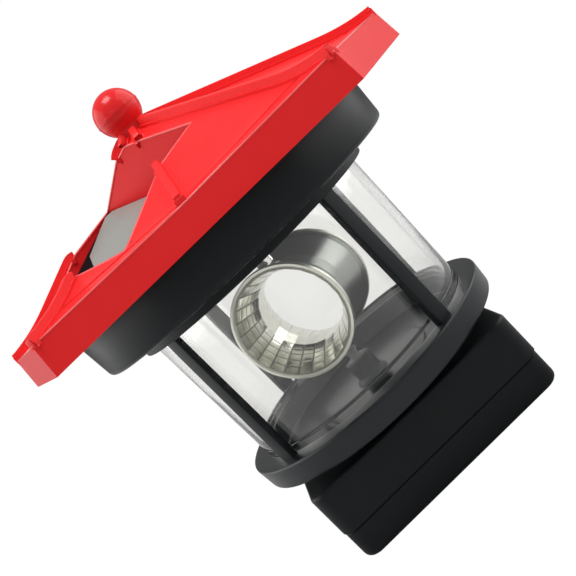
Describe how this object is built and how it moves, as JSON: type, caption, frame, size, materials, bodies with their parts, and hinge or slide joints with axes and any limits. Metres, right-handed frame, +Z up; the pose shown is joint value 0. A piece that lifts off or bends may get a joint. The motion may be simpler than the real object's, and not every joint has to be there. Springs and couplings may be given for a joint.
{
  "type": "garden_lighthouse_lantern_head",
  "caption": "Lantern head of a garden lighthouse ornament: square drive box, clear round lantern room with a turning faceted reflector, red ribbed roof with a solar panel and ball finial",
  "frame": {"origin": "centre of the box's underside, on the lamp's vertical axis", "axes": "+X to the viewer's right, +Y away from the viewer, +Z up"},
  "size_m": [0.132, 0.1082, 0.1277],
  "materials": {
    "black_plastic": "fine satin moulding",
    "grey_plastic": "satin moulding",
    "roof_red": "semi-gloss moulding",
    "clear_plastic": "clear moulding",
    "reflector_plating": "vacuum-plated clear plastic",
    "led_lens": "clear epoxy",
    "solar_glass": "gloss-laminated cell",
    "battery_wrap": "shrink sleeve",
    "board_green": "solder mask",
    "white_nylon": "moulded",
    "steel": "zinc plated",
    "brass": "turned"
  },
  "bodies": {
    "housing": {"bottom_cover": "black_plastic", "base_housing": "black_plastic", "battery_door": "black_plastic", "door_screw": "steel", "cover_screws": "steel", "battery": "battery_wrap", "battery_contact": "steel", "spring_contact": "steel", "circuit_board": "board_green", "switch_body": "black_plastic", "motor": "steel", "gear_plate": "grey_plastic", "plate_screws": "steel", "motor_screws": "steel", "idler_pin": "steel", "shaft_bush": "brass", "lantern_base": "black_plastic", "glass_tube": "clear_plastic", "head_ring": "black_plastic", "roof_screws": "steel", "led": "led_lens", "led_board": "board_green", "roof_shell": "roof_red", "solar_plate": "black_plastic", "solar_cell": "solar_glass", "finial_ball": "roof_red", "post_back_right": "black_plastic", "post_back_left": "black_plastic", "post_front_left": "black_plastic", "post_front_right": "black_plastic"},
    "rotor": {"reflector": "reflector_plating", "drive_hub": "grey_plastic", "output_gear": "white_nylon"},
    "idler": {"idler_gear": "white_nylon"},
    "motor_shaft": {"motor_pinion": "brass"},
    "switch": {"switch_knob": "black_plastic"}
  },
  "joints": [
    {"name": "reflector_turn", "type": "hinge", "parent": "housing", "child": "rotor", "pos_m": [0, 0, 0.0525], "axis": [0, 0, 1], "continuous": true},
    {"name": "idler_turn", "type": "hinge", "parent": "housing", "child": "idler", "pos_m": [-0.01316, 0.00479, 0.0173], "axis": [0, 0, 1], "continuous": true},
    {"name": "motor_turn", "type": "hinge", "parent": "housing", "child": "motor_shaft", "pos_m": [-0.00837, 0.01794, 0.0155], "axis": [0, 0, 1], "continuous": true},
    {"name": "switch_slide", "type": "slide", "parent": "housing", "child": "switch", "axis": [1, 0, 0], "range_m": [0, 0.003]}
  ],
  "couplings": [
    {"joint": "idler_turn", "follows": "reflector_turn", "ratio": -3},
    {"joint": "motor_turn", "follows": "reflector_turn", "ratio": 9}
  ]
}
